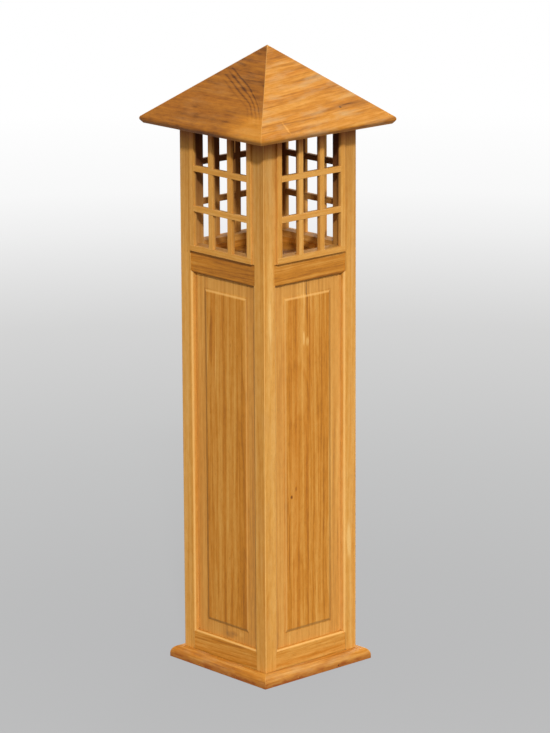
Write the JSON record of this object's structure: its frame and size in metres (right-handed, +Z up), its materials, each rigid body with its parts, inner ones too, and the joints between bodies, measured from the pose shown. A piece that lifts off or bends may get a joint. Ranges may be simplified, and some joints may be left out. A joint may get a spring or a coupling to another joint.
{
  "type": "garden lantern",
  "caption": "Square teak garden lantern: corner posts with raised panels, open lattice head, lift-off hipped roof and moulded base.",
  "frame": {"origin": "middle of the square that the lantern stands on, at ground level", "axes": "+Z up along the lantern's axis; the front face looks along -Y and the right face along +X"},
  "size_m": [0.256, 0.256, 0.8999],
  "materials": {
    "post_teak": "oiled teak, sanded, grain along the post",
    "panel_teak": "oiled teak, sanded, upright grain",
    "rail_teak": "oiled teak, sanded, a darker board, level grain",
    "lattice_teak": "oiled teak, sanded, grain along each bar",
    "moulding_teak": "oiled teak, shaped and sanded, level grain",
    "roof_teak": "oiled teak, sanded, flat-sawn grain along the eave",
    "inner_teak": "plain sawn teak, seldom seen",
    "pin_steel": "dark steel pin, dulled by the oil"
  },
  "bodies": {
    "lantern": {"base_moulding_back": "moulding_teak", "base_moulding_front": "moulding_teak", "base_moulding_left": "moulding_teak", "base_moulding_right": "moulding_teak", "base_pins": "pin_steel", "bottom_rail_back": "rail_teak", "bottom_rail_front": "rail_teak", "bottom_rail_left": "rail_teak", "bottom_rail_right": "rail_teak", "corner_post_back_left": "post_teak", "corner_post_back_right": "post_teak", "corner_post_front_left": "post_teak", "corner_post_front_right": "post_teak", "floor_cleat_back": "inner_teak", "floor_cleat_front": "inner_teak", "lamp_floor": "inner_teak", "lattice_crossbars_back": "lattice_teak", "lattice_crossbars_front": "lattice_teak", "lattice_crossbars_left": "lattice_teak", "lattice_crossbars_right": "lattice_teak", "lattice_head_back": "lattice_teak", "lattice_head_front": "lattice_teak", "lattice_head_left": "lattice_teak", "lattice_head_right": "lattice_teak", "lattice_left_stile_back": "lattice_teak", "lattice_left_stile_front": "lattice_teak", "lattice_left_stile_left": "lattice_teak", "lattice_left_stile_right": "lattice_teak", "lattice_right_stile_back": "lattice_teak", "lattice_right_stile_front": "lattice_teak", "lattice_right_stile_left": "lattice_teak", "lattice_right_stile_right": "lattice_teak", "lattice_sill_back": "lattice_teak", "lattice_sill_front": "lattice_teak", "lattice_sill_left": "lattice_teak", "lattice_sill_right": "lattice_teak", "lattice_uprights_back": "lattice_teak", "lattice_uprights_front": "lattice_teak", "lattice_uprights_left": "lattice_teak", "lattice_uprights_right": "lattice_teak", "mid_rail_back": "rail_teak", "mid_rail_front": "rail_teak", "mid_rail_left": "rail_teak", "mid_rail_right": "rail_teak", "raised_panel_back": "panel_teak", "raised_panel_front": "panel_teak", "raised_panel_left": "panel_teak", "raised_panel_right": "panel_teak", "top_rail_back": "inner_teak", "top_rail_front": "inner_teak", "top_rail_left": "inner_teak", "top_rail_right": "inner_teak"},
    "roof": {"roof_bearer_back": "inner_teak", "roof_bearer_front": "inner_teak", "roof_bearer_left": "inner_teak", "roof_bearer_right": "inner_teak", "roof_board_back": "roof_teak", "roof_board_front": "roof_teak", "roof_board_left": "roof_teak", "roof_board_right": "roof_teak"}
  },
  "joints": [
    {"name": "roof_lift", "type": "slide", "parent": "lantern", "child": "roof", "axis": [0, 0, 1], "range_m": [0, 0.06]}
  ]
}
